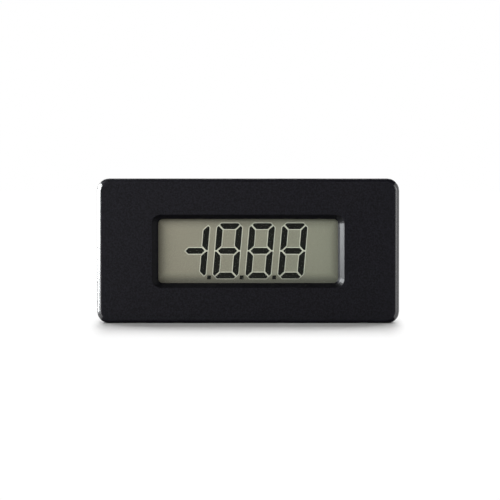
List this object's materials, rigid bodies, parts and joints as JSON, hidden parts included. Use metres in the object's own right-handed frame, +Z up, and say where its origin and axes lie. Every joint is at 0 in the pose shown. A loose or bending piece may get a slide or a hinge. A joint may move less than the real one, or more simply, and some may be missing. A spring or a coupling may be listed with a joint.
{
  "type": "digital panel meter",
  "caption": "Panel-mounted meter with a liquid crystal readout behind a bevelled window, an open-backed black moulding, and ratchet clips at both sides.",
  "frame": {"origin": "centre of the flange's rear face, the plane that seats on the panel", "axes": "+Z up, +Y from the panel seat toward the rear, +X to the right seen from the front; the display faces -Y"},
  "size_m": [0.072, 0.0205, 0.0344],
  "materials": {
    "black_moulding": "fine matte texture",
    "clear_lens": "polished clear acrylic",
    "front_film": "anti-glare film",
    "cell_glass": "polished",
    "seal": "cured resin",
    "segments": "flat",
    "reflector": "satin grey-green",
    "frame_plastic": "moulded",
    "contact_rubber": "layered elastomer",
    "board_laminate": "solder mask",
    "screw_steel": "zinc plated",
    "chip_epoxy": "moulded epoxy",
    "tinned_leads": "tin plated",
    "trimmer_plastic": "moulded",
    "rotor_plastic": "moulded",
    "film_box": "moulded box",
    "can_sleeve": "shrink sleeve",
    "disc_coating": "dipped coating",
    "resistor_body": "glazed face with tinned ends",
    "header_plastic": "moulded",
    "gold_pins": "gold flash",
    "clip_plastic": "moulded"
  },
  "bodies": {
    "meter": {"bezel": "black_moulding", "window_lens": "clear_lens", "front_polariser": "front_film", "front_glass": "cell_glass", "cell_seal": "seal", "display_segments": "segments", "rear_glass": "cell_glass", "rear_polariser": "reflector", "display_frame": "frame_plastic", "upper_contact_strip": "contact_rubber", "lower_contact_strip": "contact_rubber", "circuit_board": "board_laminate", "board_screws": "screw_steel", "converter_chip": "chip_epoxy", "chip_leads": "tinned_leads", "trimmer_body": "trimmer_plastic", "trimmer_pins": "tinned_leads", "integrating_capacitor": "film_box", "auto_zero_capacitor": "film_box", "reference_capacitor": "film_box", "capacitor_leads": "tinned_leads", "supply_capacitor": "can_sleeve", "supply_capacitor_leads": "tinned_leads", "clock_capacitor": "disc_coating", "clock_capacitor_leads": "tinned_leads", "chip_resistors": "resistor_body", "header_block": "header_plastic", "header_pins": "gold_pins"},
    "left_clip": {"left_clip": "clip_plastic"},
    "right_clip": {"right_clip": "clip_plastic"},
    "trimmer_rotor": {"trimmer_rotor": "rotor_plastic"}
  },
  "joints": [
    {"name": "left_clip_slide", "type": "slide", "parent": "meter", "child": "left_clip", "axis": [0, 1, 0], "range_m": [-0.0055, 0.001]},
    {"name": "right_clip_slide", "type": "slide", "parent": "meter", "child": "right_clip", "axis": [0, 1, 0], "range_m": [-0.0055, 0.001]},
    {"name": "trimmer_turn", "type": "hinge", "parent": "meter", "child": "trimmer_rotor", "pos_m": [0.0186, 0.009, 0.0036], "axis": [0, 1, 0], "range_deg": [-130, 130]}
  ]
}
